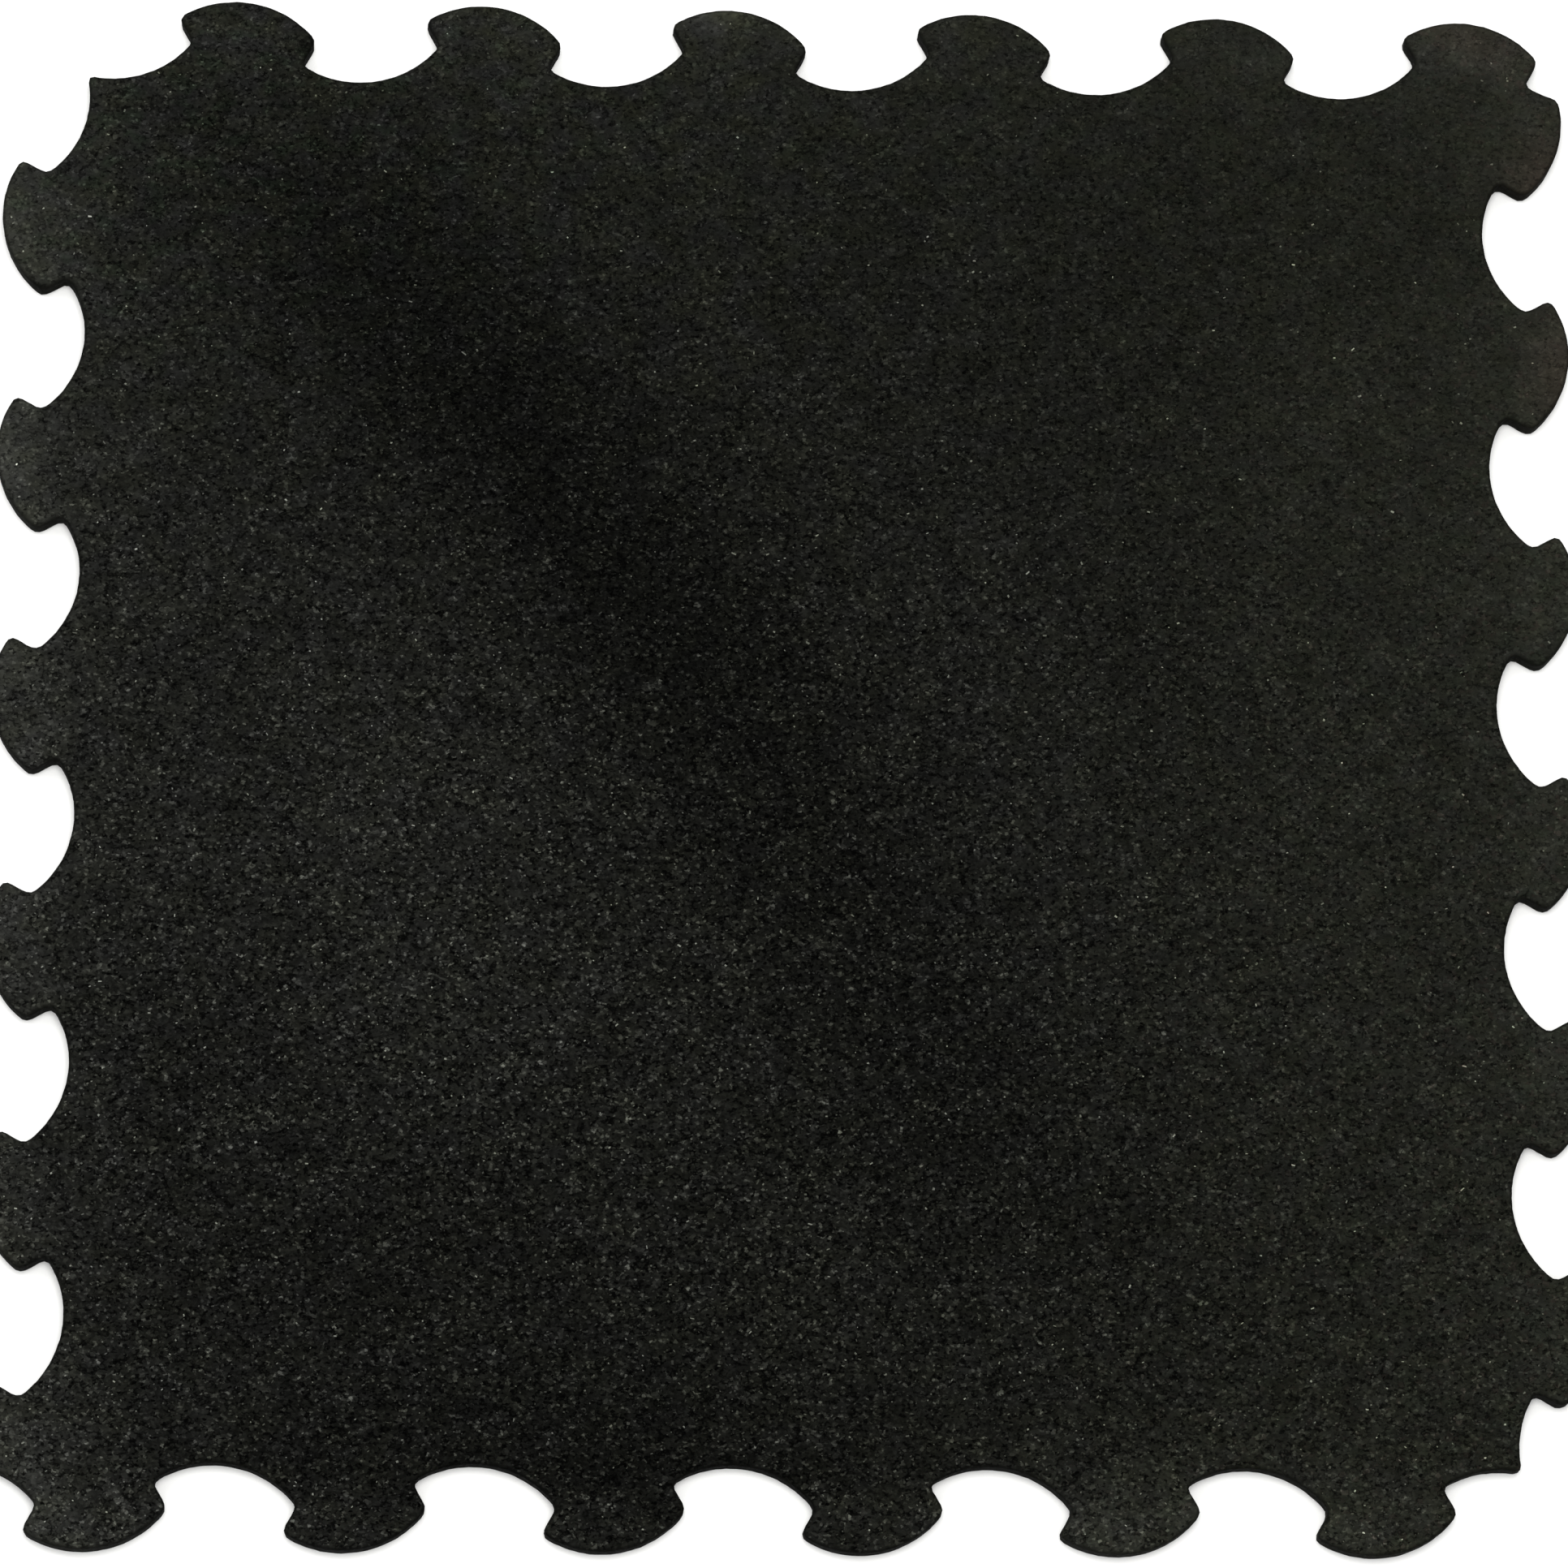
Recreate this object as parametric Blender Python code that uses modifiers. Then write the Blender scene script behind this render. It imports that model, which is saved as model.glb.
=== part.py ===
"""A rubber stable mat: one square slab with jigsaw edges that key into the mats around it.

Every edge follows the same wavy line, in which a round-headed tab and a notch of the same
shape take turns. The near edge is the far edge moved across by the mat's width, and the
right edge is the left edge moved across in the same way, so a tab on one mat fills the
notch of the next. X runs to the right, Y to the far side and Z up, in metres, with the
middle of the underside at the origin.
"""

import math

import bmesh
import bpy

MM = 0.001

# The square that a laid mat fills, measured along the middle lines of its wavy edges.
LAID_SIZE = 1000 * MM
THICKNESS = 15 * MM
TABS_PER_SIDE = 6
PITCH = LAID_SIZE / TABS_PER_SIDE

# A tab's head is one arc. It reaches this far past the middle line of the edge, and a
# notch reaches as far inward, so the arc's centre is on the other side of that line.
TAB_REACH = 28.3 * MM
HEAD_RADIUS = 68 * MM
CENTRE_DEPTH = HEAD_RADIUS - TAB_REACH
# The middle of the first tab, from the corner of the laid square.
FIRST_HEAD = 0.754 * PITCH
# The head's arc starts and ends at these angles, measured at its centre from the line of
# the edge. They differ, so the tabs lean a little and one shoulder stands higher.
HIGH_SHOULDER = math.radians(124.5)
LOW_SHOULDER = math.radians(36.5)
ARC_STEP = math.radians(10)

# Where the wavy lines of two edges meet, they do so on the diagonal of the laid square.
# The first notch of both lines meets at one angle, and the last tab of both at another.
DIAGONAL = math.radians(45)
DIAGONAL_RADIUS = HEAD_RADIUS * math.sqrt(2)
NOTCH_FROM_CORNER = FIRST_HEAD - PITCH / 2
HEAD_FROM_CORNER = PITCH - FIRST_HEAD
NOTCHES_MEET = math.acos(-(NOTCH_FROM_CORNER + CENTRE_DEPTH) / DIAGONAL_RADIUS) - DIAGONAL
HEADS_MEET = math.acos((HEAD_FROM_CORNER + CENTRE_DEPTH) / DIAGONAL_RADIUS) + DIAGONAL

# Rounding of the shoulders, the necks and the mat's own corners, seen from above.
CORNER_RADIUS = 5 * MM
CORNER_STEPS = 3

# Rounding of the upper rim, and the small rounding of the rim that lies on the ground.
TOP_ROUND = 2.5 * MM
TOP_ROUND_STEPS = 2
FOOT_ROUND = 0.8 * MM
# Faces that meet at more than this angle form a rim. Nothing else on the slab does.
RIM_ANGLE = math.radians(60)
# Triangles that lie in one plane to within this angle are joined into one flat face.
FLAT_ANGLE = math.radians(0.5)
WELD_DISTANCE = 0.01 * MM

RUBBER_COLOUR = (0.012, 0.0125, 0.0105, 1.0)
RUBBER_ROUGHNESS = 0.85


def clear_scene():
    """Remove whatever the scene starts with."""
    for old in list(bpy.data.objects):
        bpy.data.objects.remove(old)


def arc_points(index, start, end):
    """Return one arc of the wavy line as points (along the edge, outward from it).

    Odd indices are tab heads. Even ones are the same arc turned inward, half a pitch
    further on, and form the notches.
    """
    middle = FIRST_HEAD + (index - 1) * PITCH / 2
    outward = 1 if index % 2 else -1
    steps = math.ceil(abs(end - start) / ARC_STEP)
    points = []
    for step in range(steps + 1):
        angle = start + (end - start) * step / steps
        along = middle + HEAD_RADIUS * math.cos(angle)
        reach = HEAD_RADIUS * math.sin(angle) - CENTRE_DEPTH
        points.append((along, outward * reach))
    return points


def edge_arcs(first, last, start, end):
    """Return the arcs of one edge, of which the first and the last are cut short."""
    arcs = []
    for index in range(first, last + 1):
        begin = start if index == first else HIGH_SHOULDER
        finish = end if index == last else LOW_SHOULDER
        arcs.append(arc_points(index, begin, finish))
    return arcs


def sharp_outline():
    """Return the outline, clockwise from the far left corner, and where its corners are.

    The far and the near line run on past the corners of the laid square, and the left and
    the right line end where they meet them.
    """
    half = LAID_SIZE / 2
    last_head = 2 * TABS_PER_SIDE - 1
    far = edge_arcs(0, last_head + 1, NOTCHES_MEET, NOTCHES_MEET)
    near = edge_arcs(-1, last_head, HEADS_MEET, HEADS_MEET)
    side = edge_arcs(0, last_head, NOTCHES_MEET, HEADS_MEET)
    placed = []
    for arc in far:
        placed.append([(s - half, half + o) for s, o in arc])
    for arc in side:
        placed.append([(half - o, half - s) for s, o in arc])
    for arc in reversed(near):
        placed.append([(s - half, o - half) for s, o in reversed(arc)])
    for arc in reversed(side):
        placed.append([(-half - o, half - s) for s, o in reversed(arc)])

    points = []
    corners = set()
    for arc in placed:
        if points and math.dist(points[-1], arc[0]) < WELD_DISTANCE:
            arc = arc[1:]
        else:
            corners.add(len(points))
        points.extend(arc)
        corners.add(len(points) - 1)
    points.pop()
    corners.discard(len(points))
    return points, corners


def rounded_corner(before, corner, after):
    """Return the points of an arc that touches both straight pieces next to a corner."""
    cx, cy = corner
    reach_before = math.dist(before, corner)
    reach_after = math.dist(after, corner)
    ax, ay = (before[0] - cx) / reach_before, (before[1] - cy) / reach_before
    bx, by = (after[0] - cx) / reach_after, (after[1] - cy) / reach_after
    opening = math.acos(ax * bx + ay * by)
    touch = CORNER_RADIUS / math.tan(opening / 2)
    to_centre = CORNER_RADIUS / math.sin(opening / 2)
    middle_length = math.hypot(ax + bx, ay + by)
    ux, uy = (ax + bx) / middle_length, (ay + by) / middle_length
    centre = (cx + ux * to_centre, cy + uy * to_centre)
    start = math.atan2(cy + ay * touch - centre[1], cx + ax * touch - centre[0])
    end = math.atan2(cy + by * touch - centre[1], cx + bx * touch - centre[0])
    turn = (end - start + math.pi) % math.tau - math.pi
    points = []
    for step in range(CORNER_STEPS + 1):
        angle = start + turn * step / CORNER_STEPS
        x = centre[0] + CORNER_RADIUS * math.cos(angle)
        y = centre[1] + CORNER_RADIUS * math.sin(angle)
        points.append((x, y))
    return points


def mat_outline():
    """Return the outline with every corner rounded."""
    points, corners = sharp_outline()
    rounded = []
    for index, point in enumerate(points):
        if index in corners:
            after = points[(index + 1) % len(points)]
            rounded.extend(rounded_corner(points[index - 1], point, after))
        else:
            rounded.append(point)
    return rounded


def flat_slab(name, outline, thickness):
    """Return an object that is the outline given a thickness, standing on the ground."""
    curve = bpy.data.curves.new(name + "_outline", "CURVE")
    curve.dimensions = "2D"
    curve.fill_mode = "BOTH"
    curve.extrude = thickness / 2
    spline = curve.splines.new("POLY")
    spline.points.add(len(outline) - 1)
    for point, (x, y) in zip(spline.points, outline):
        point.co = (x, y, 0, 1)
    spline.use_cyclic_u = True
    holder = bpy.data.objects.new(name + "_outline", curve)
    bpy.context.scene.collection.objects.link(holder)
    bpy.context.view_layer.update()
    evaluated = holder.evaluated_get(bpy.context.evaluated_depsgraph_get())
    mesh = bpy.data.meshes.new_from_object(evaluated)
    bpy.data.objects.remove(holder)
    bpy.data.curves.remove(curve)

    shape = bmesh.new()
    shape.from_mesh(mesh)
    bmesh.ops.remove_doubles(shape, verts=shape.verts, dist=WELD_DISTANCE)
    bmesh.ops.translate(shape, verts=shape.verts, vec=(0, 0, thickness / 2))
    bmesh.ops.dissolve_limit(
        shape, angle_limit=FLAT_ANGLE, verts=shape.verts, edges=shape.edges)
    bmesh.ops.recalc_face_normals(shape, faces=shape.faces)
    for face in shape.faces:
        face.smooth = abs(face.normal.z) < 0.5
    shape.to_mesh(mesh)
    shape.free()
    mesh.name = name
    return bpy.data.objects.new(name, mesh)


def round_rims(slab, thickness):
    """Round the upper rim well and the lower rim slightly."""
    for label, height, radius, steps in (
            ("top_round", thickness, TOP_ROUND, TOP_ROUND_STEPS),
            ("foot_round", 0.0, FOOT_ROUND, 1)):
        group = slab.vertex_groups.new(name=label)
        rim = [v.index for v in slab.data.vertices if abs(v.co.z - height) < WELD_DISTANCE]
        group.add(rim, 1.0, "REPLACE")
        bevel = slab.modifiers.new(label, "BEVEL")
        bevel.limit_method = "VGROUP"
        bevel.vertex_group = label
        bevel.width = radius
        bevel.segments = steps


def rubber():
    """Return dark rubber with a dull face."""
    material = bpy.data.materials.new("rubber")
    material.use_nodes = True
    shader = material.node_tree.nodes["Principled BSDF"]
    shader.inputs["Base Color"].default_value = RUBBER_COLOUR
    shader.inputs["Roughness"].default_value = RUBBER_ROUGHNESS
    shader.inputs["Metallic"].default_value = 0.0
    return material


def build():
    """Make the mat."""
    clear_scene()
    collection = bpy.data.collections.new("rubber_stable_mat")
    bpy.context.scene.collection.children.link(collection)
    mat = flat_slab("mat", mat_outline(), THICKNESS)
    round_rims(mat, THICKNESS)
    mat.data.materials.append(rubber())
    collection.objects.link(mat)


build()
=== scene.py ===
# %% [markdown]
# A rubber stable mat, dressed around its CAD solid
#
# The mat is one slab of crumb rubber, 15 mm thick, with a wavy edge whose tabs hook into
# the next mat. The CAD solid has the outline and the rounded rims. Here it gets what makes
# it look like pressed crumb: a rough relief, granules that stand proud and a black finish
# with painted light and shade. Everything is in metres, in the frame of the imported part.

import math

import bpy
import numpy as np
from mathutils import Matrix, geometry


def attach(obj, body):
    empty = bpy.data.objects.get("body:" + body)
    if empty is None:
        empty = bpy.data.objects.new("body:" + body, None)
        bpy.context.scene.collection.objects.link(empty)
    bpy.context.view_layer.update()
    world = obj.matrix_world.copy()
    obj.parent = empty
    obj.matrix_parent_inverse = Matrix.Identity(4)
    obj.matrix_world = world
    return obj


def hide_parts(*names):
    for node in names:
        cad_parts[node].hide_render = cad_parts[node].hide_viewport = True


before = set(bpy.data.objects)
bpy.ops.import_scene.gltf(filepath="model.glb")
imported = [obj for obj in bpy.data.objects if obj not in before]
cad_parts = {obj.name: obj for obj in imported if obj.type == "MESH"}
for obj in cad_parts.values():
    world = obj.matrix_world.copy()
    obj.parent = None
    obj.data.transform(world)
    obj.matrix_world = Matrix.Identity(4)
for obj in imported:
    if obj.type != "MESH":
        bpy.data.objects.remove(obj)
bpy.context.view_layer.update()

# %% [markdown]
# Real sizes
#
# These repeat the sizes that the solid was made with, because the relief has to follow the
# same line. A laid mat fills a square metre, and six tabs share each side.

# %% Sizes of the mat
MM = 0.001
LAID_SIZE = 1000 * MM
HALF = LAID_SIZE / 2
THICKNESS = 15 * MM
TABS_PER_SIDE = 6
PITCH = LAID_SIZE / TABS_PER_SIDE
TAB_REACH = 28.3 * MM
HEAD_RADIUS = 68 * MM
CENTRE_DEPTH = HEAD_RADIUS - TAB_REACH
FIRST_HEAD = 0.754 * PITCH
HIGH_SHOULDER = math.radians(124.5)
LOW_SHOULDER = math.radians(36.5)
TOP_ROUND = 2.5 * MM
FOOT_ROUND = 0.8 * MM

# Two wavy lines meet on the diagonal of the square, notch on notch or tab on tab.
ON_DIAGONAL = HEAD_RADIUS * math.sqrt(2)
NOTCH_FROM_CORNER = FIRST_HEAD - PITCH / 2
HEAD_FROM_CORNER = PITCH - FIRST_HEAD
EIGHTH = math.radians(45)
NOTCHES_MEET = math.acos(-(NOTCH_FROM_CORNER + CENTRE_DEPTH) / ON_DIAGONAL) - EIGHTH
HEADS_MEET = math.acos((HEAD_FROM_CORNER + CENTRE_DEPTH) / ON_DIAGONAL) + EIGHTH
print("a tab every", round(PITCH / MM, 1), "mm")

# %% [markdown]
# The wavy edge
#
# On the real mat every tab and every notch is the same arc, turned out or in, so that the
# mats interlock whichever way round they lie. Drawn by hand, the curve would drift; worked
# out from one arc, all four sides fit. The shoulders are rounded in one go, by averaging
# the line over a short stretch of its own length.

# %% One arc, and one side made of arcs
POINTS_IN_ARC = 240


def edge_arc(index, start=HIGH_SHOULDER, end=LOW_SHOULDER):
    """Points (along, out) of one arc of the edge.

    along is the tab's middle plus the radius times the cosine, and out is the radius times
    the sine, less the centre's depth. Odd arcs are turned out, and even ones in.
    """
    angle = np.linspace(start, end, POINTS_IN_ARC)
    middle = FIRST_HEAD + (index - 1) * PITCH / 2
    out = HEAD_RADIUS * np.sin(angle) - CENTRE_DEPTH
    along = middle + HEAD_RADIUS * np.cos(angle)
    return np.column_stack((along, out if index % 2 else -out))


def edge_line(first, last, start, end):
    """The arcs of one side in a row. The first and the last are cut where lines meet."""
    inner = [edge_arc(index) for index in range(first + 1, last)]
    return np.vstack([edge_arc(first, start=start), *inner, edge_arc(last, end=end)])


head_width = np.ptp(edge_arc(1)[:, 0])
print("a head is", round(head_width / MM, 1), "mm wide between its shoulders")

# %% Even spacing and soft shoulders
SHOULDER_BLEND = 10 * MM
FINE_STEP = 0.5 * MM
OUTLINE_STEP = 3.4 * MM


def spaced(line, step):
    """The closed line with its points one step apart, measured along it."""
    closed = np.vstack((line, line[:1]))
    length = np.concatenate(([0], np.cumsum(np.hypot(*np.diff(closed, axis=0).T))))
    count = int(round(length[-1] / step))
    at = np.arange(count) * length[-1] / count
    return np.column_stack([np.interp(at, length, closed[:, k]) for k in (0, 1)])


def averaged(line, reach):
    """Each point moved to the mean of itself and `reach` neighbours on both sides."""
    around = np.vstack((line[-reach:], line, line[:reach]))
    total = np.cumsum(np.vstack(([[0, 0]], around)), axis=0)
    width = 2 * reach + 1
    return (total[width:] - total[:-width]) / width


def mat_outline():
    """The far, right, near and left side in turn, clockwise as seen from above."""
    last_tab = 2 * TABS_PER_SIDE - 1
    far = edge_line(0, last_tab + 1, NOTCHES_MEET, NOTCHES_MEET)
    near = edge_line(-1, last_tab, HEADS_MEET, HEADS_MEET)[::-1]
    right = edge_line(0, last_tab, NOTCHES_MEET, HEADS_MEET)
    left = right[::-1]
    line = np.vstack(
        (
            np.column_stack((far[:, 0] - HALF, HALF + far[:, 1])),
            np.column_stack((HALF - right[:, 1], HALF - right[:, 0])),
            np.column_stack((near[:, 0] - HALF, near[:, 1] - HALF)),
            np.column_stack((-HALF - left[:, 1], HALF - left[:, 0])),
        )
    )
    reach = int(SHOULDER_BLEND / FINE_STEP / 2)
    return spaced(averaged(spaced(line, FINE_STEP), reach), OUTLINE_STEP)


outline = mat_outline()
print(len(outline), "points on the outline, spanning", np.ptp(outline, axis=0).round(4))

# %% [markdown]
# Soft patches
#
# A mat that has lain about is never one black. It is paler along the edges and on the
# right, and a darker band crosses it from the far left corner: this is painted light and
# shade. Tabs near the far right corner have soil on them. Each is a soft oval with a place,
# a length, a width and a direction. They could be painted on a picture, but a picture has a
# size and a seam. Kept on the meshes as attributes, they hold at any distance, and the slab
# and its granules share them.


# %% Ovals and fades
def patch(places, x, y, length, width, turn=0.0):
    """A soft oval: one in the middle, falling as exp of minus the squared distance.

    The distance is measured in lengths along the patch and in widths across it. Place and
    sizes are in millimetres.
    """
    c, s = math.cos(math.radians(turn)), math.sin(math.radians(turn))
    dx, dy = places[:, 0] - x * MM, places[:, 1] - y * MM
    along, across = (dx * c + dy * s) / (length * MM), (dy * c - dx * s) / (width * MM)
    return np.exp(-(along**2) - across**2)


def fade(inward, reach):
    """One on an edge of the laid square and outside it, falling with the way inward."""
    return np.exp(-np.clip(inward, 0, None) / (reach * MM))


one_length_off = patch(np.zeros((1, 2)), 300, 0, 300, 50)
print("one length from its middle, an oval has fallen to", one_length_off.round(2))

# %% [markdown]
# Painted light and shade
#
# The rubber is made paler along the sides, as painted light, and darker in a band across the
# mat, as painted shade. It is one factor: the exponential of fades and ovals added up, which
# keeps it above nought however many overlap. The ovals were placed against the photograph.

# %% Ovals of painted light and shade
# Each oval is how much paler, then its middle's x and y, length, width and direction.
PAINTED_LIGHT_OVALS = (
    # The dark band that crosses the mat, and the dark stretch along the near side: painted
    # shade.
    (-0.74, -230, 280, 190, 75, -48),
    (-0.58, -75, 85, 190, 80, -52),
    (-0.46, 75, -190, 240, 95, -58),
    (-0.34, -230, -340, 240, 80),
    (-0.76, -120, -490, 260, 75),
    # Paler and darker places between them, painted light and shade.
    (-0.18, -400, -190, 90, 80),
    (-0.20, 130, 290, 200, 170),
    (-0.10, 400, 380, 140, 130),
    (0.22, -270, -60, 120, 170),
    (0.10, 350, 60, 90, 340),
    (0.14, 370, 260, 60, 60),
    (0.40, 235, -500, 110, 60),
    (0.30, -500, -480, 60, 90),
    (-0.15, 490, 500, 60, 50),
    (-0.15, 500, -480, 50, 60),
    (-0.14, 235, 50, 60, 110),
    (0.16, 520, 240, 30, 190),
    (0.12, -520, 180, 30, 130),
    (-0.18, -515, 430, 40, 60),
    (-0.20, 420, -520, 60, 30),
    # The shoulders of the first far tab and of the first left one, darkened as painted
    # shade.
    (-0.90, -321, 508, 7, 14, -25),
    (-0.90, -508, 321, 14, 7, -25),
    # Two paler tab ends on the far side.
    (0.80, -48, 524, 28, 14),
    (0.35, 455, 510, 50, 16, -25),
)
darker = sum(oval[0] < 0 for oval in PAINTED_LIGHT_OVALS)
print(darker, "darker ovals and", len(PAINTED_LIGHT_OVALS) - darker, "paler ones")


# %% Paleness, painted light and shade
def paleness(places):
    """The fades and ovals of painted light and shade added up: nought where the mat is its
    plain black.
    """
    x, y = places[:, 0], places[:, 1]
    # A slow rise to the right, then paler fades in from the edges, most on the left: painted
    # light.
    amount = 0.135 + 0.06 * x / HALF
    amount += 0.65 * fade(x + HALF, 50) * (1 + 0.25 * np.clip(y / HALF, -1, 1))
    amount += 0.30 * fade(x + HALF + 20 * MM, 14) + 0.41 * fade(HALF - x, 55)
    amount += 0.34 * fade(HALF - y, 40) + 0.50 * fade(y + HALF, 14)
    for paler, *oval in PAINTED_LIGHT_OVALS:
        amount += paler * patch(places, *oval)
    return amount


def dust(places):
    """How much lighter or darker the painted light and shade make the rubber, as a factor.
    """
    return np.exp(paleness(places))


CORNERS_AND_MIDDLE = HALF * np.array([(-1, 1), (1, 1), (-1, -1), (1, -1), (0, 0)])
print("dust at the corners and in the middle:", dust(CORNERS_AND_MIDDLE).round(2))

# %% [markdown]
# Soil and sharpness
#
# Soil is a colour of its own, so it is a share and not a factor. Where soil fills the grain,
# or the painted light is paler, the granules differ less, and away from the light on the far
# side they do too: this paints how strongly the light picks out the relief. One number says
# how strongly, and the finish raises the grain to that power.


# %% Soil, and how much the granules differ
def soil(places):
    """Soil trodden into tabs near the far right corner: two on the right, one far."""
    share = 0.8 * patch(places, 518, 410, 26, 34)
    share += 0.6 * patch(places, 525, 275, 24, 45)
    return np.clip(share + 0.4 * patch(places, 470, 514, 45, 16, -25), 0, 1)


def sharpness(places):
    """How strongly the granules differ: a plane and a wide oval, less paleness and soil.

    The plane falls to the right and to the far side, away from the light, and the oval lies
    over the middle. Together they paint how strongly the light picks out the relief.
    """
    x, y = places[:, 0] / HALF, places[:, 1] / HALF
    plain = 1.00 - 0.24 * x - 0.23 * y + 0.52 * patch(places, -40, -120, 400, 420)
    plain -= 0.34 * paleness(places) + 0.5 * soil(places)
    return np.clip(plain - 0.12 * fade(places[:, 0] + HALF, 25), 0.4, 1.85)


print("sharpness at the same places:", sharpness(CORNERS_AND_MIDDLE).round(2))

# %% [markdown]
# Tint
#
# Old tyres are many blacks. Pressed together they lean to a purplish grey on the left of
# the mat and to olive on the right, by patches a thumb wide. Along the far side greenish
# granules lie among them, and on the right a few rusty ones. As with the painted light and
# shade, the places are rules, and the finish reads how much of each tint there is.


# %% Rules for the tint
def olive(places):
    """How far the black leans from purplish grey to olive: most on the right."""
    x, y = places[:, 0] / HALF, places[:, 1] / HALF
    share = 0.56 + 0.11 * np.tanh(2.2 * x - 0.2) + 0.055 * y**2 + 0.04 * y
    greyer_strip = 0.13 * patch(places, 140, -20, 480, 95, 90)
    return share - greyer_strip - 0.12 * patch(places, 430, 510, 150, 70)


def wander(places):
    """How far that lean goes either way, patch by patch: most at the far left."""
    return 0.13 + 0.17 * patch(places, -200, 480, 400, 220)


def moss(places):
    """Where greenish granules are: along the far side, and thinly on the right."""
    share = 0.6 * patch(places, -370, 430, 230, 160)
    share += 0.2 * patch(places, 30, 450, 240, 90)
    return np.clip(share + 0.25 * np.clip(places[:, 0] / HALF, 0, 1), 0, 1)


def rust(places):
    """Where rusty granules are: on the right half only."""
    return 0.4 * np.clip(places[:, 0] / HALF, 0, 1)


print("olive at the same places:", olive(CORNERS_AND_MIDDLE).round(2))

# %% [markdown]
# The slab with its relief
#
# Crumb is pressed flat in the mould, so the top is level as a whole and rough only by a few
# tenths of a millimetre. The solid's flat top can't show that. The slab is made again: the
# rim's profile is carried along the outline, ring by ring, and the flats are filled with
# scattered points joined into triangles. The top's points are near enough to each other
# for the triangles to be about as large as the granules, so each catches the light alone.

# %% The rim's profile, carried along the outline
RIM_ROUGHNESS = 0.09 * MM
RINGS_ON_WALL = 3

seed = np.random.default_rng(15)


def outward(line):
    """Unit normals of a clockwise line: the direction of travel, turned to the left."""
    travel = np.roll(line, -1, axis=0) - np.roll(line, 1, axis=0)
    travel /= np.linalg.norm(travel, axis=1)[:, None]
    return np.column_stack((-travel[:, 1], travel[:, 0]))


def rim_profile():
    """Pairs (how far in, height), from the top's flat round the wall to the underside."""
    top = np.radians([0, 30, 60, 90])
    foot = np.radians([0, 90])
    wall = np.linspace(THICKNESS - TOP_ROUND, FOOT_ROUND, RINGS_ON_WALL + 2)[1:-1]
    upper = np.column_stack(
        (TOP_ROUND * (1 - np.sin(top)), THICKNESS - TOP_ROUND * (1 - np.cos(top)))
    )
    lower = np.column_stack(
        (FOOT_ROUND * (1 - np.cos(foot)), FOOT_ROUND * (1 - np.sin(foot)))
    )
    return np.vstack((upper, np.column_stack((0 * wall, wall)), lower))


def rim_rings(line):
    """Rings x places x 3: the outline moved in along its normals at each height."""
    profile, normals = rim_profile(), outward(line)
    rough = seed.normal(0, RIM_ROUGHNESS, (len(profile), len(line)))
    rough[-1] = 0
    inset = profile[:, :1] + rough
    flat = line[None] - normals[None] * inset[:, :, None]
    height = np.broadcast_to(profile[:, 1:], inset.shape).copy()
    height[:-1] += 0.5 * seed.normal(0, RIM_ROUGHNESS, height[:-1].shape)
    return np.dstack((flat, height))


rings = rim_rings(outline)
print("rim of", rings.shape[0], "rings by", rings.shape[1], "places")

# %% Points for the flats
TOP_GRAIN, TOP_MARGIN = 4.05 * MM, 2.1 * MM
UNDERSIDE_GRAIN, UNDERSIDE_MARGIN = 14 * MM, 4 * MM
TOP_JITTER, UNDERSIDE_JITTER = 0.24 * TOP_GRAIN, 0.1 * UNDERSIDE_GRAIN
RAY_BATCH = 3000


def inside(places, line):
    """True where a ray to the right crosses the closed line an odd number of times."""
    a, b = line, np.roll(line, -1, axis=0)
    rise = b[:, 1] - a[:, 1]
    slope = (b[:, 0] - a[:, 0]) / np.where(rise == 0, 1e-12, rise)
    answers = []
    for part in np.array_split(places, max(1, len(places) // RAY_BATCH)):
        y = part[:, 1:2]
        spans = (a[:, 1] > y) != (b[:, 1] > y)
        left_of = part[:, :1] < a[:, 0] + slope * (y - a[:, 1])
        answers.append((spans & left_of).sum(axis=1) % 2 == 1)
    return np.concatenate(answers)


def scattered(spacing, jitter, keep_in):
    """A honeycomb of points, each moved at random, where it lies inside the outline."""
    reach = HALF + TAB_REACH
    rows = np.arange(-reach, reach, spacing * math.sqrt(3) / 2)
    columns = np.arange(-reach, reach, spacing)
    x, y = np.meshgrid(columns, rows)
    x = x + np.where(np.arange(len(rows)) % 2, spacing / 2, 0)[:, None]
    points = np.column_stack((x.ravel(), y.ravel()))
    points += seed.uniform(-jitter, jitter, points.shape)
    # Only what lies near the wavy edge has to be tried against it.
    stays = np.abs(points).max(axis=1) < HALF - 1.5 * TAB_REACH
    stays[~stays] = inside(points[~stays], outline - outward(outline) * keep_in)
    return points[stays]


top_points = scattered(TOP_GRAIN, TOP_JITTER, TOP_ROUND + TOP_MARGIN)
foot_points = scattered(UNDERSIDE_GRAIN, UNDERSIDE_JITTER, FOOT_ROUND + UNDERSIDE_MARGIN)
print(len(top_points), "points on top and", len(foot_points), "below")

# %% Fill the flats, and lay the top in slow waves
SWELL_HEIGHT = 0.15 * MM


def filled(ring, points):
    """Triangles between the ring's points and those scattered in it.

    The fill joins every point to its nearest neighbours, so it also bridges the notches.
    Only a triangle between three of the ring's points can do that, and it stays where its
    middle lies inside the ring.
    """
    places = np.vstack((ring, points))
    found = geometry.delaunay_2d_cdt(places.tolist(), [], [], 0, 1e-9, False)
    assert len(found[0]) == len(places), "the fill added or merged points"
    triangles = np.array(found[2])
    stays = triangles.max(axis=1) >= len(ring)
    stays[~stays] = inside(places[triangles[~stays]].mean(axis=1), ring)
    triangles = triangles[stays]
    a, b, c = (places[triangles[:, k]] for k in (0, 1, 2))
    turn = np.cross(b - a, c - a)
    triangles[turn < 0] = triangles[turn < 0][:, ::-1]
    return triangles


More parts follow.
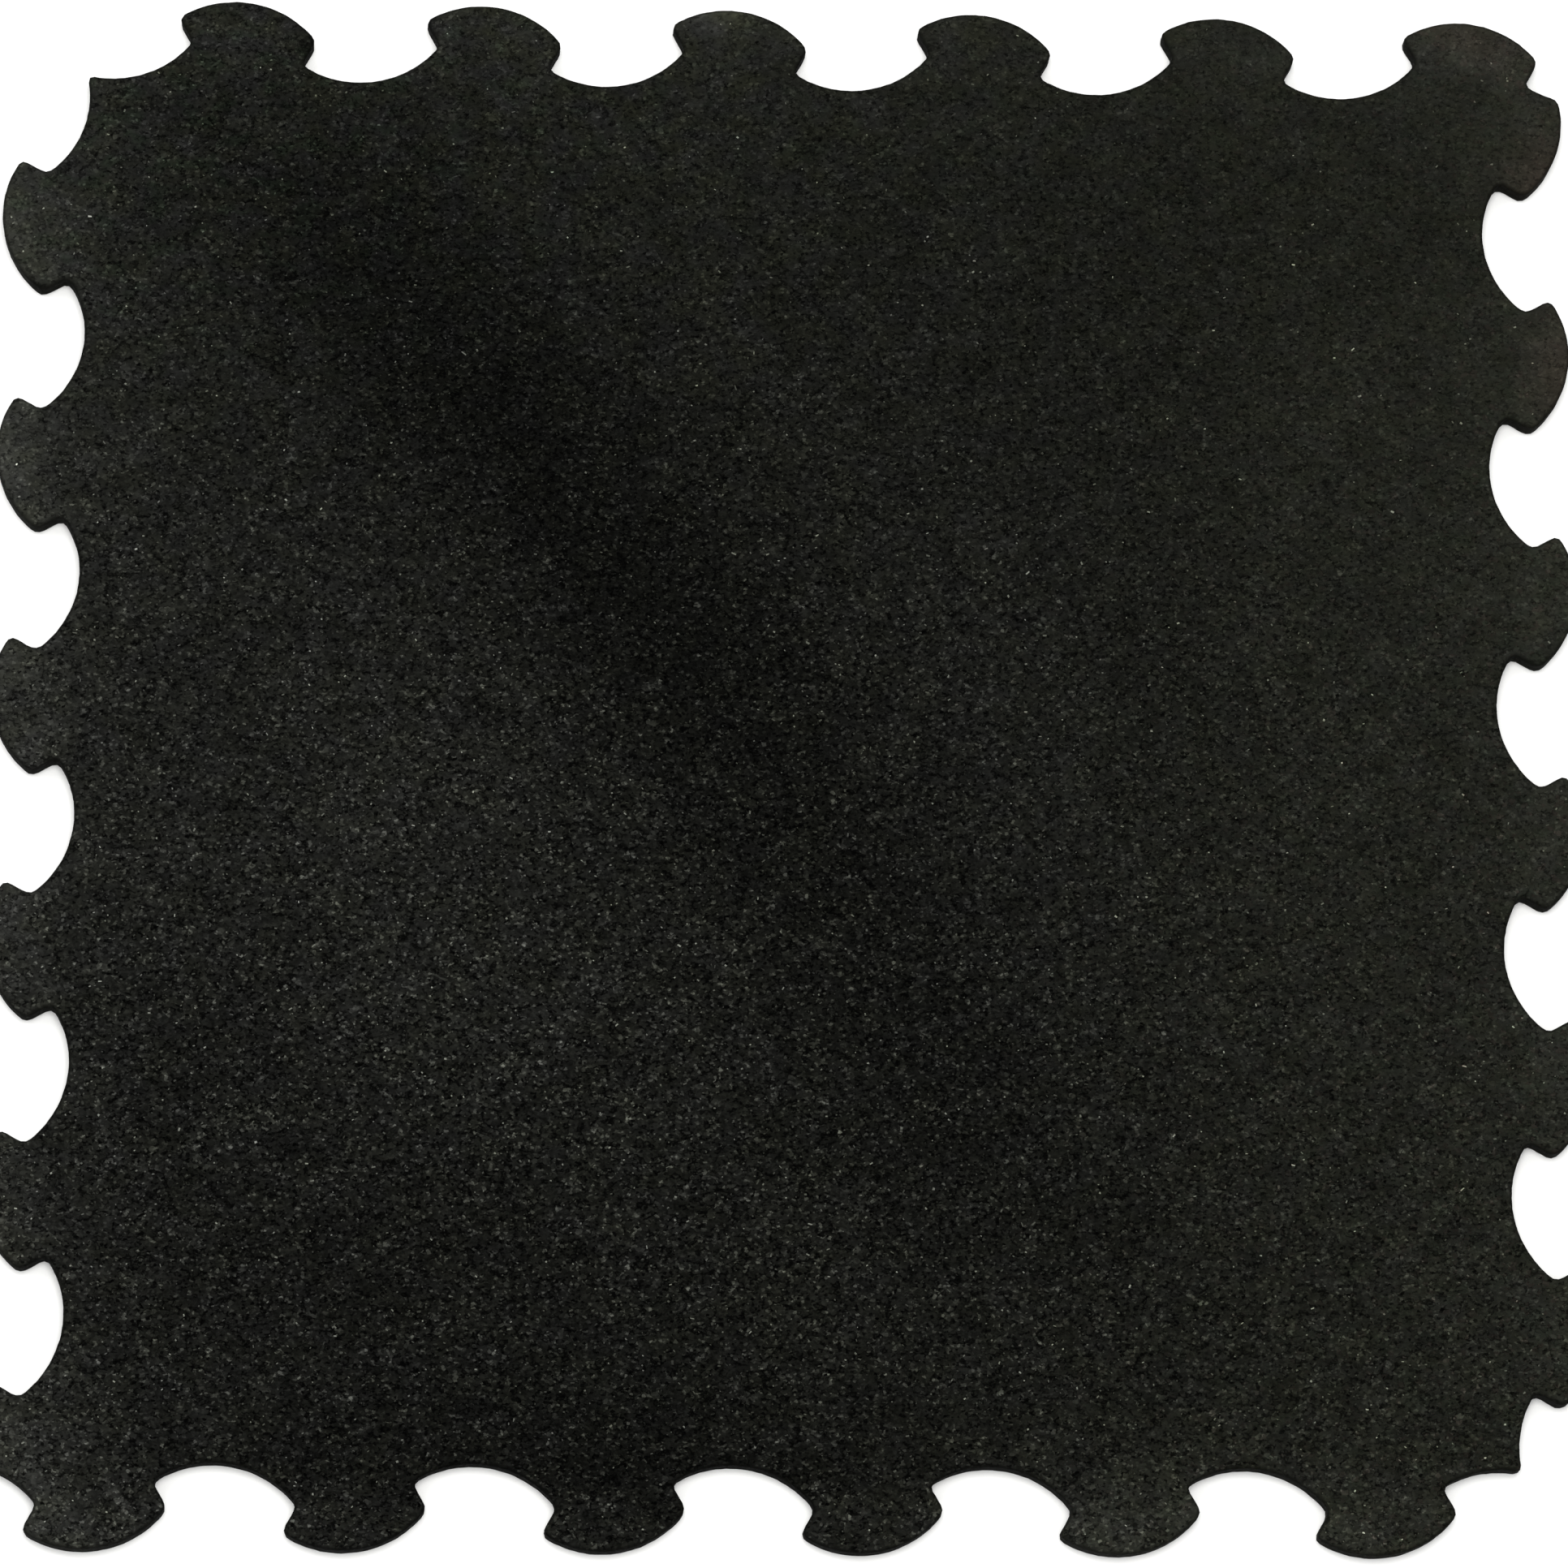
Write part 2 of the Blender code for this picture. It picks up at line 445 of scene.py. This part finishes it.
def swell(places):
    """Height of the slab's slow waves: two long sines, under half a millimetre in all."""
    x, y = places[:, 0] / HALF, places[:, 1] / HALF
    return SWELL_HEIGHT * (np.sin(2.1 * x + 1.3 * y) + np.sin(3.7 * y - 2.0 * x + 1.0))


print("waves of up to", round(swell(top_points).max() / MM, 2), "mm")

# %% Join them into one closed slab
TOP_ROUGHNESS = 0.17 * MM
TOP_SETTLED = 0.05 * MM
WAVES_FADE_OUT = 0.4 * THICKNESS


def slab_mesh():
    """The slab's points, its filled flats as triangles, and its rim and wall as quads.

    A point on top is the thickness, plus a random grain, plus the slow waves, which fade
    out down the wall. The underside stays flat, because it lies on the ground.
    """
    count, around = rings.shape[:2]
    ring_points = rings.reshape(-1, 3)
    grain = seed.normal(0, TOP_ROUGHNESS, len(top_points))
    top = np.column_stack((top_points, THICKNESS - TOP_SETTLED + grain))
    foot = np.column_stack((foot_points, np.zeros(len(foot_points))))
    points = np.vstack((ring_points, top, foot))
    way_up = (points[:, 2] - WAVES_FADE_OUT) / (THICKNESS - WAVES_FADE_OUT)
    points[:, 2] += np.clip(way_up, 0, 1) * swell(points)

    start_top, start_foot = len(ring_points), len(ring_points) + len(top)
    upper = filled(rings[0, :, :2], top_points)
    upper = np.where(upper < around, upper, upper - around + start_top)
    lower = filled(rings[-1, :, :2], foot_points)[:, ::-1]
    lower = np.where(
        lower < around, lower + (count - 1) * around, lower - around + start_foot
    )
    i, k = np.meshgrid(np.arange(around), np.arange(count - 1))
    i, k, j = i.ravel(), k.ravel() * around, ((i + 1) % around).ravel()
    wall = np.column_stack((k + i, k + j, k + around + j, k + around + i))
    return points, np.vstack((upper, lower)), wall


points, fills, walls = slab_mesh()
print(len(fills), "triangles on the flats and", len(walls), "quads round the wall")

# %% [markdown]
# Meshes from arrays
#
# Every piece is built the same way: its points, how many corners each face has, and which
# points those corners are. A modifier or an edit-mode tool could make them too, but with
# arrays the whole mesh is known before Blender sees it. The attributes are stored with it.


# %% A piece, and what it keeps for the finish
def made_piece(name, points, face_sizes, corners, smooth):
    """A new mesh object in the scene, from arrays, at the origin."""
    mesh = bpy.data.meshes.new(name)
    mesh.vertices.add(len(points))
    mesh.vertices.foreach_set("co", points.astype(np.float32).ravel())
    mesh.loops.add(len(corners))
    mesh.loops.foreach_set("vertex_index", corners.astype(np.int32))
    mesh.polygons.add(len(face_sizes))
    starts = np.concatenate(([0], np.cumsum(face_sizes)[:-1])).astype(np.int32)
    mesh.polygons.foreach_set("loop_start", starts)
    mesh.polygons.foreach_set("use_smooth", smooth)
    mesh.update(calc_edges=True)
    mesh.validate()
    piece = bpy.data.objects.new(name, mesh)
    bpy.context.scene.collection.objects.link(piece)
    return piece


def keep(piece, name, values, domain="POINT"):
    """Store one number a vertex, or a face, for the finish to read."""
    made = piece.data.attributes.new(name, "FLOAT", domain)
    made.data.foreach_set("value", values.astype(np.float32))


SURROUNDINGS = (dust, sharpness, olive, wander, moss, rust, soil)


def keep_surroundings(piece, places, corners_each=1):
    """Store what depends on the place alone, once for each corner of a granule."""
    for rule in SURROUNDINGS:
        keep(piece, rule.__name__, np.repeat(rule(places), corners_each))


print("kept for the finish:", [rule.__name__ for rule in SURROUNDINGS])

# %% The slab
sizes = np.concatenate((np.full(len(fills), 3), np.full(len(walls), 4)))
corners = np.concatenate((fills.ravel(), walls.ravel()))
slab = made_piece("mat_slab", points, sizes, corners, sizes == 4)
# The moulded skin is whole on the wall and fades out over the top's rounding. The finish
# makes it more even and darker there; the darkening is partly the skin's own and partly
# painted shade, as the wall stands in shade.
skin_and_shade = np.zeros(len(points))
skin_and_shade[: rings.shape[0] * rings.shape[1]] = np.repeat(
    np.clip((rim_profile()[:, 0] - TOP_ROUND) / -TOP_ROUND, 0, 1), rings.shape[1]
)
keep(slab, "skin_and_shade", skin_and_shade)
keep(slab, "loose", np.zeros(len(points)))
# The slab has no painted glints.
keep(slab, "painted_glint", np.zeros(len(sizes)), "FACE")
keep(slab, "tone", seed.uniform(0.92, 1.08, len(sizes)), "FACE")
keep_surroundings(slab, points)
print("slab of", (sizes - 2).sum(), "triangles")

# %% [markdown]
# Granules that stand proud
#
# The crumb is shredded tyre: angular bits of two to four millimetres, some long, pressed
# together with a little glue. Many end up a touch above their neighbours, with flat tops
# and sharp sides, and on a few the sparkle is a painted glint: a pale face standing in for a
# highlight. They could be scattered as instances, but every instance would be the same bit.
# Here each is its own eight-cornered chip, worked out for all of them at once: a foot sunk
# in the slab and a smaller, tilted top.

# %% Chips from arrays
SQUARE = np.array([(-1, -1), (1, -1), (1, 1), (-1, 1)])
CHIP_FACES = np.array(
    [(0, 3, 2, 1), (4, 5, 6, 7), (0, 1, 5, 4), (1, 2, 6, 5), (2, 3, 7, 6), (3, 0, 4, 7)]
)
FACES_A_CHIP, CORNERS_A_CHIP = len(CHIP_FACES), 2 * len(SQUARE)
CHIP_SUNK = 0.75 * MM
LEAST_PROUD, MOST_PROUD = 0.02 * MM, 0.75 * MM


def chips(centres, scale):
    """Chips x 8 x 3: an uneven four-sided foot, and a top that is smaller and tilted.

    A corner lies half the chip's length and width from its centre, moved by up to a third,
    then turned with the chip, more often along the mat's width. The top's corners draw in
    and rise by the chip's height plus a tilt that grows with the way from the centre.
    """
    count = len(centres)
    # Half the length and half the width, in millimetres, as exp of a normal draw.
    size = np.column_stack(
        (seed.lognormal(0.18, 0.28, count), seed.lognormal(-0.25, 0.22, count))
    )
    foot = SQUARE[None] * (size * scale[:, None])[:, None] * MM
    foot = foot * seed.uniform(0.66, 1.25, (count, 4, 2))
    top = foot * seed.uniform(0.55, 0.85, (count, 1, 1))
    turn = seed.normal(0, 0.7, count)
    c, s = np.cos(turn)[:, None], np.sin(turn)[:, None]

    def placed(flat, height):
        x = centres[:, :1] + flat[:, :, 0] * c - flat[:, :, 1] * s
        y = centres[:, 1:] + flat[:, :, 0] * s + flat[:, :, 1] * c
        return np.dstack((x, y, height))

    rise = seed.uniform(0.12, 0.42, (count, 1)) * MM
    tilt = seed.normal(0, 0.13, (count, 1, 2))
    level = THICKNESS + swell(centres)[:, None]
    proud = np.clip(rise + (top * tilt).sum(axis=2), LEAST_PROUD, MOST_PROUD)
    foot_height = np.broadcast_to(level - CHIP_SUNK, (count, 4))
    return np.concatenate((placed(foot, foot_height), placed(top, level + proud)), axis=1)


print("a chip has", CORNERS_A_CHIP, "corners and", FACES_A_CHIP, "faces")

# %% Chips with a tone, and a few with a painted glint
CHIP_SPACING, CHIP_MARGIN = 5.2 * MM, 1.2 * MM
CHIP_JITTER = 0.33 * CHIP_SPACING
FLECK_SHARE = 0.11
# How pale a painted glint is, a highlight painted into the tone, and the most it may be.
FLECK_PAINTED_GLINT, MOST_PAINTED_GLINT = 3.6, 22
SHRUNK_FLECK = 0.32
DARK_CHIP_FROM, DARK_CHIP = 0.88, 0.35


def granule_piece(name, centres):
    """One mesh of chips, each with a tone and, on a few, a painted glint: a pale face for a
    highlight.
    """
    count = len(centres)
    # Where the granules differ the most, one chip in five gets a painted glint, a pale face
    # that stands for a highlight.
    pick = seed.uniform(0, 1, count)
    fleck = pick < FLECK_SHARE * np.clip(2.5 * sharpness(centres) - 1.6, 0.35, 2)
    painted_glint = fleck * FLECK_PAINTED_GLINT * np.exp(seed.exponential(0.55, count))
    shapes = chips(centres, 1 - SHRUNK_FLECK * fleck)
    chip_starts = CORNERS_A_CHIP * np.arange(count)[:, None, None]
    faces = (CHIP_FACES[None] + chip_starts).reshape(-1, 4)
    places = shapes.reshape(-1, 3)
    piece = made_piece(
        name, places, np.full(len(faces), 4), faces.ravel(), np.zeros(len(faces), bool)
    )
    darker = np.where(pick > DARK_CHIP_FROM, DARK_CHIP, 1)
    tone = np.exp(seed.normal(0.0, 0.28, count)) * darker
    keep(piece, "tone", np.repeat(tone, FACES_A_CHIP), "FACE")
    keep(piece, "painted_glint", np.repeat(np.minimum(painted_glint, MOST_PAINTED_GLINT), FACES_A_CHIP), "FACE")
    keep(piece, "loose", np.ones(len(places)))
    keep(piece, "skin_and_shade", np.zeros(len(places)))
    keep_surroundings(piece, centres, CORNERS_A_CHIP)
    return piece


chip_places = scattered(CHIP_SPACING, CHIP_JITTER, TOP_ROUND + CHIP_MARGIN)
chip_places = chip_places[seed.permutation(len(chip_places))]
granules = [
    granule_piece("granules_" + str(number + 1), group)
    for number, group in enumerate(np.array_split(chip_places, 3))
]
triangles_in_all = 2 * FACES_A_CHIP * len(chip_places)
print(len(chip_places), "granules,", triangles_in_all, "triangles")

# %% [markdown]
# Bound crumb rubber
#
# The real thing is ground tyre rubber and a polyurethane binder, pressed hot. It is nearly
# black and matt, each granule a little lighter or darker than the next, with pits between
# that hold no light, and here and there a cut face that catches it. The finish paints both:
# the pits darkened as painted shade, the cut faces as pale painted glints. The finish is
# built in four steps: cells of a granule's size, the tone of each, its tint, and its relief.
# One finish serves the slab and the loose granules, so they can't drift apart.

# %% Colours and nodes
MATHS, VECTOR, RANGE = "ShaderNodeMath", "ShaderNodeVectorMath", "ShaderNodeMapRange"
NOISE, CELLS, MIX = "ShaderNodeTexNoise", "ShaderNodeTexVoronoi", "ShaderNodeMix"
GREY_BLACK = "#39393B"
OLIVE_BLACK = "#3A3C2F"
MOSS_BLACK = "#353F32"
RUST_BLACK = "#433A35"
SOIL_GREY = "#4A423A"
# The colours are taken paler than the rubber, so that hex steps are fine enough, and this
# brings them down to it.
DEPTH = 0.2


def linear(hex_colour):
    """An sRGB hex colour as linear red, green, blue and one."""
    parts = [int(hex_colour[k : k + 2], 16) / 255 for k in (1, 3, 5)]
    curve = [c / 12.92 if c <= 0.04045 else ((c + 0.055) / 1.055) ** 2.4 for c in parts]
    return (*curve, 1.0)


def add(tree, kind, inputs=None, **settings):
    """Add a node, with its settings and what each of its inputs holds or is linked to."""
    made = tree.nodes.new(kind)
    for name, value in settings.items():
        setattr(made, name, value)
    for key, value in (inputs or {}).items():
        if isinstance(value, bpy.types.NodeSocket):
            tree.links.new(value, made.inputs[key])
        else:
            made.inputs[key].default_value = value
    return made


olive_rubber = [round(DEPTH * part, 4) for part in linear(OLIVE_BLACK)[:3]]
print("the olive black of the rubber is", olive_rubber, "in linear numbers")

# %% [markdown]
# Granules as cells
#
# A plain noise looks like cloud, because it has no edges, and granules do. So the grain
# comes from cells: every place belongs to the nearest of many scattered points. A straight
# cell would look like cut glass, so a small noise bends the borders first.

# %% Granules and fine crumb
GRANULE = 2.7 * MM
# The real dust of the crumb is finer still, but it would not show, so it is drawn coarser.
FINE_CRUMB = 1.5 * MM
BEND, BEND_REACH = 2.4 * MM, 1.7 * MM
# Shredded granules lie a little longer across the mat than along it.
LONGER_ACROSS = (0.76, 1.0, 1.0)


def crumb_grain(tree):
    """The cells of granules and of fine crumb, and what their noises read."""
    place = add(tree, "ShaderNodeTexCoord").outputs["Object"]
    across = {0: place, 1: LONGER_ACROSS}
    across = add(tree, VECTOR, across, operation="MULTIPLY").outputs[0]
    bend = add(tree, NOISE, {"Vector": place, "Scale": 1 / BEND, "Detail": 1.0})
    bent = {0: bend.outputs["Color"], 1: (BEND_REACH,) * 3, 2: across}
    bent = add(tree, VECTOR, bent, operation="MULTIPLY_ADD").outputs[0]
    granules_at = {"Vector": bent, "Scale": 1 / GRANULE}
    granule = add(tree, CELLS, granules_at)
    border = add(tree, CELLS, granules_at, feature="DISTANCE_TO_EDGE")
    crumb = add(tree, CELLS, {"Vector": bent, "Scale": 1 / FINE_CRUMB})
    granule_pick = add(tree, "ShaderNodeSeparateColor", {0: granule.outputs["Color"]})
    crumb_pick = add(tree, "ShaderNodeSeparateColor", {0: crumb.outputs["Color"]})
    return {
        "place": place,
        "across": across,
        "bent": bent,
        "dome": granule.outputs["Distance"],
        "border": border.outputs["Distance"],
        "granule_pick": granule_pick.outputs,
        "crumb_pick": crumb_pick.outputs,
    }


print("cells of", [round(cell / MM, 1) for cell in (GRANULE, FINE_CRUMB)], "mm")

# %% [markdown]
# Light and dark granules
#
# Most granules are much alike, and a few are paler. The same goes for the fine crumb on
# them. Dark pits lie on the borders, but not on all of them: lines all round would make a
# mosaic. The pits are painted shade, where the gaps hold no light. They gape only where a
# noise says so, and a loose granule on top has none. Small holes are darkened as painted
# shade too. All of these are factors, so they are multiplied, and the sharpness is the power
# they are raised to: below one, it brings the granules nearer to each other. The painted
# glints, pale tones that stand for highlights, are laid on last.

# %% The tone of the grain
GAPE_PATCH = 4 * MM
CLOUD = 22 * MM
# The skin's tone: partly its own darker, even skin, partly painted shade on the wall.
SKIN_AND_SHADE_TONE = 0.3


def crumb_tone(tree, own, grain):
    """The lightness as a product of factors with painted shade in pits and holes, raised to
    the sharpness, lifted by painted glints, times the painted light and shade.
    """
    granule_pick, crumb_pick = grain["granule_pick"], grain["crumb_pick"]
    # Each pick is even from nought to one, and its highest eighth is paler still.
    factors = []
    for pick, low, high, pale in (
        (granule_pick[0], 0.78, 1.14, 1.6),
        (crumb_pick[1], 0.64, 1.22, 2.3),
    ):
        factors += [
            add(tree, RANGE, {"Value": pick, "To Min": low, "To Max": high}),
            add(tree, RANGE, {"Value": pick, "From Min": 0.88, "To Min": 1, "To Max": pale}),
        ]
    where = {"Vector": grain["across"], "Scale": 1 / GAPE_PATCH, "Detail": 1.0}
    where = add(tree, NOISE, where)
    gape = {"Value": where.outputs["Fac"], "From Min": 0.51, "From Max": 0.69}
    gape = add(tree, RANGE, {**gape, "To Min": 0.001, "To Max": 0.36})
    # Painted shade in the pits: darker near a granule's border, where the noise lets it
    # gape.
    from_pit = add(tree, MATHS, {0: own["loose"], 1: grain["border"]}, operation="ADD")
    pit_shade = {"Value": from_pit.outputs[0], "From Max": gape.outputs[0], "To Min": 0.20}
    # Some of the finest crumbs have fallen out, which leaves small holes, darkened as
    # painted shade.
    hole_shade = {"Value": crumb_pick[0], "From Min": 0.04, "From Max": 0.08, "To Min": 0.25}
    factors += [add(tree, RANGE, pit_shade), add(tree, RANGE, hole_shade)]
    tone = own["tone"]
    for factor in factors:
        product = {0: tone, 1: factor.outputs[0]}
        tone = add(tree, MATHS, product, operation="MULTIPLY").outputs[0]
    tone = add(tree, MATHS, {0: tone, 1: own["sharpness"]}, operation="POWER").outputs[0]
    # Painted glints: a few chips are lifted to a pale tone, standing in for highlights.
    tone = add(tree, MATHS, {0: tone, 1: own["painted_glint"]}, operation="MAXIMUM").outputs[0]

    # The moulded skin on the rim and the wall is more even and darker, partly its own darker
    # skin and partly painted shade, since the wall stands in shade. Wide, faint clouds and
    # the painted light and shade lie over everything.
    tone = add(tree, MIX, {0: own["skin_and_shade"], 2: tone, 3: SKIN_AND_SHADE_TONE}).outputs[0]
    cloud = {"Vector": grain["place"], "Scale": 1 / CLOUD, "Detail": 1.0}
    cloud = add(tree, NOISE, cloud)
    mottle = {"Value": cloud.outputs["Fac"], "From Min": 0.3, "From Max": 0.7}
    mottle = add(tree, RANGE, {**mottle, "To Min": 0.84, "To Max": 1.16})
    for factor in (mottle.outputs[0], own["dust"], DEPTH):
        tone = add(tree, MATHS, {0: tone, 1: factor}, operation="MULTIPLY").outputs[0]
    return tone


print("pits gape in patches of", round(GAPE_PATCH / MM), "mm")

# %% [markdown]
# The wandering black
#
# The black leans to grey or to olive by patches a thumb wide. Greenish granules lie
# together, and single ones are rusty. Each is one more colour mixed in by its share, in
# turn, and the tone comes last, because it has to darken all of them alike.

# %% The tint of the grain
LEAN_PATCH = 18 * MM
MOSS_PATCH = 15 * MM


def crumb_colour(tree, own, grain, tone):
    """The blacks mixed one after the other, then scaled by the tone."""
    lean = {"Vector": grain["across"], "Scale": 1 / LEAN_PATCH, "Detail": 1.0}
    lean = add(tree, NOISE, lean)
    lean = {"Value": lean.outputs["Fac"], "From Min": 0.32, "From Max": 0.68}
    lean = add(tree, RANGE, {**lean, "To Min": -1.0, "To Max": 1.0})
    lean = {0: lean.outputs[0], 1: own["wander"], 2: own["olive"]}
    lean = add(tree, MATHS, lean, operation="MULTIPLY_ADD")
    green = {"Vector": grain["bent"], "Scale": 1 / MOSS_PATCH, "Detail": 2.0}
    green = add(tree, NOISE, green)
    green = {"Value": green.outputs["Fac"], "From Min": 0.52, "From Max": 0.64}
    green = {0: own["moss"], 1: add(tree, RANGE, green).outputs[0]}
    green = add(tree, MATHS, green, operation="MULTIPLY")
    rusty = {"Value": grain["granule_pick"][1], "From Min": 0.90, "From Max": 0.94}
    rusty = {0: own["rust"], 1: add(tree, RANGE, rusty).outputs[0]}
    rusty = add(tree, MATHS, rusty, operation="MULTIPLY")
    colour = linear(GREY_BLACK)
    for share, other in (
        (lean.outputs[0], OLIVE_BLACK),
        (green.outputs[0], MOSS_BLACK),
        (rusty.outputs[0], RUST_BLACK),
        (own["soil"], SOIL_GREY),
    ):
        blend = {0: share, 6: colour, 7: linear(other)}
        colour = add(tree, MIX, blend, data_type="RGBA").outputs[2]
    return add(tree, VECTOR, {0: colour, "Scale": tone}, operation="SCALE").outputs[0]


print("the black leans in patches of", round(LEAN_PATCH / MM), "mm")

# %% [markdown]
# Relief, and the finish put together
#
# Each granule is domed a little and sits at a height of its own. The facets of the mesh
# carry the larger relief, and a bump adds this finer one. Crumb is matt, and under a large
# soft light any gloss would lift the black to grey, so the specular level is almost nought,
# and the glints are painted into the colour instead.

# %% The finish
RELIEF = 0.4 * MM
RULE_NAMES = [rule.__name__ for rule in SURROUNDINGS]
OWN_NUMBERS = ("tone", "painted_glint", "loose", "skin_and_shade", *RULE_NAMES)


def bound_crumb_rubber():
    """The finish of the whole mat: pressed crumb with painted shade in the pits, painted
    glints, painted light and shade, and soil.
    """
    material = bpy.data.materials.new("bound_crumb_rubber")
    material.use_nodes = True
    tree = material.node_tree
    tree.nodes.clear()
    own = {
        name: add(tree, "ShaderNodeAttribute", attribute_name=name).outputs["Fac"]
        for name in OWN_NUMBERS
    }
    grain = crumb_grain(tree)
    colour = crumb_colour(tree, own, grain, crumb_tone(tree, own, grain))
    height = {0: grain["dome"], 1: -0.6, 2: grain["granule_pick"][2]}
    height = add(tree, MATHS, height, operation="MULTIPLY_ADD").outputs[0]
    relief = {"Strength": 0.8, "Distance": RELIEF, "Height": height}
    relief = add(tree, "ShaderNodeBump", relief).outputs[0]
    rough = {"Value": grain["crumb_pick"][2], "To Min": 0.62, "To Max": 0.95}
    rough = add(tree, RANGE, rough).outputs[0]
    finish = {"Base Color": colour, "Roughness": rough, "Normal": relief}
    finish.update({"IOR": 1.52, "Specular IOR Level": 0.015})
    shader = add(tree, "ShaderNodeBsdfPrincipled", finish)
    add(tree, "ShaderNodeOutputMaterial", {"Surface": shader.outputs[0]})
    return material


rubber = bound_crumb_rubber()
for piece in (slab, *granules):
    piece.data.materials.append(rubber)
print(rubber.name, "with", len(rubber.node_tree.nodes), "nodes")

# %% [markdown]
# What each piece is to the part
#
# The slab stands for the CAD solid, and the granules ride on the same body.

# %% Hand the pieces to the frame
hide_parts("mat")
for piece in (slab, *granules):
    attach(piece, "root")
print("pieces on the mat:", [piece.name for piece in (slab, *granules)])

# %% [markdown]
# Floor, light and camera
#
# A pale floor and large soft lights show a black mat without hard shadows. The camera looks
# down from near the mat's front, tipped a little away from it, as in the photograph.

# %% The studio
# In metres: so wide that low views see no end of it.
FLOOR_SIZE = 24
FLOOR_BELOW = 0.4 * MM


def studio_floor():
    """A pale square, a little below the mat, that reaches past what the camera sees."""
    floor = made_piece(
        "studio_floor",
        np.column_stack((SQUARE * FLOOR_SIZE / 2, np.full(4, -FLOOR_BELOW))),
        np.array([4]),
        np.array([0, 1, 2, 3]),
        np.array([False]),
    )
    # Matt emulsion paint, rolled on: pale all over, with no gloss.
    paint = bpy.data.materials.new("studio_paint")
    paint.use_nodes = True
    shader = paint.node_tree.nodes["Principled BSDF"]
    shader.inputs["Base Color"].default_value = linear("#FAFAF9")
    shader.inputs["Roughness"].default_value = 0.9
    floor.data.materials.append(paint)


def soft_light(name, place, size, power):
    """A square area light that faces the middle of the mat."""
    lamp = bpy.data.lights.new(name, "AREA")
    lamp.shape, lamp.size, lamp.energy = "SQUARE", size, power
    lamp.color = linear("#FFFEFC")[:3]
    light = bpy.data.objects.new(name, lamp)
    light.location = place
    aim = -light.location
    light.rotation_euler = aim.to_track_quat("-Z", "Y").to_euler()
    bpy.context.scene.collection.objects.link(light)


studio_floor()
soft_light("overhead_light", (0, 0, 5.2), 2.6, 170)
soft_light("window_light", (-2.4, 1.6, 2.6), 2.2, 24)
world = bpy.data.worlds.new("pale_room")
world.use_nodes = True
room = world.node_tree.nodes["Background"]
room.inputs["Color"].default_value = linear("#F6F7F7")
room.inputs["Strength"].default_value = 0.88
bpy.context.scene.world = world
bpy.context.scene.view_settings.view_transform = "Standard"
print("floor, two lights and a pale room")

# %% The camera
PHOTO_WIDTH = 1932
FOCAL_PIXELS = 9000
SENSOR_WIDTH = 36
camera_data = bpy.data.cameras.new("camera")
camera_data.sensor_width = SENSOR_WIDTH
camera_data.lens = SENSOR_WIDTH * FOCAL_PIXELS / PHOTO_WIDTH
camera = bpy.data.objects.new("camera", camera_data)
camera.location = (-284.5 * MM, -1274.5 * MM, 4667.2 * MM)
camera.rotation_euler = [math.radians(turn) for turn in (15.116, -3.375, -0.238)]
bpy.context.scene.collection.objects.link(camera)
bpy.context.scene.camera = camera
print("lens of", round(camera_data.lens, 1), "mm")
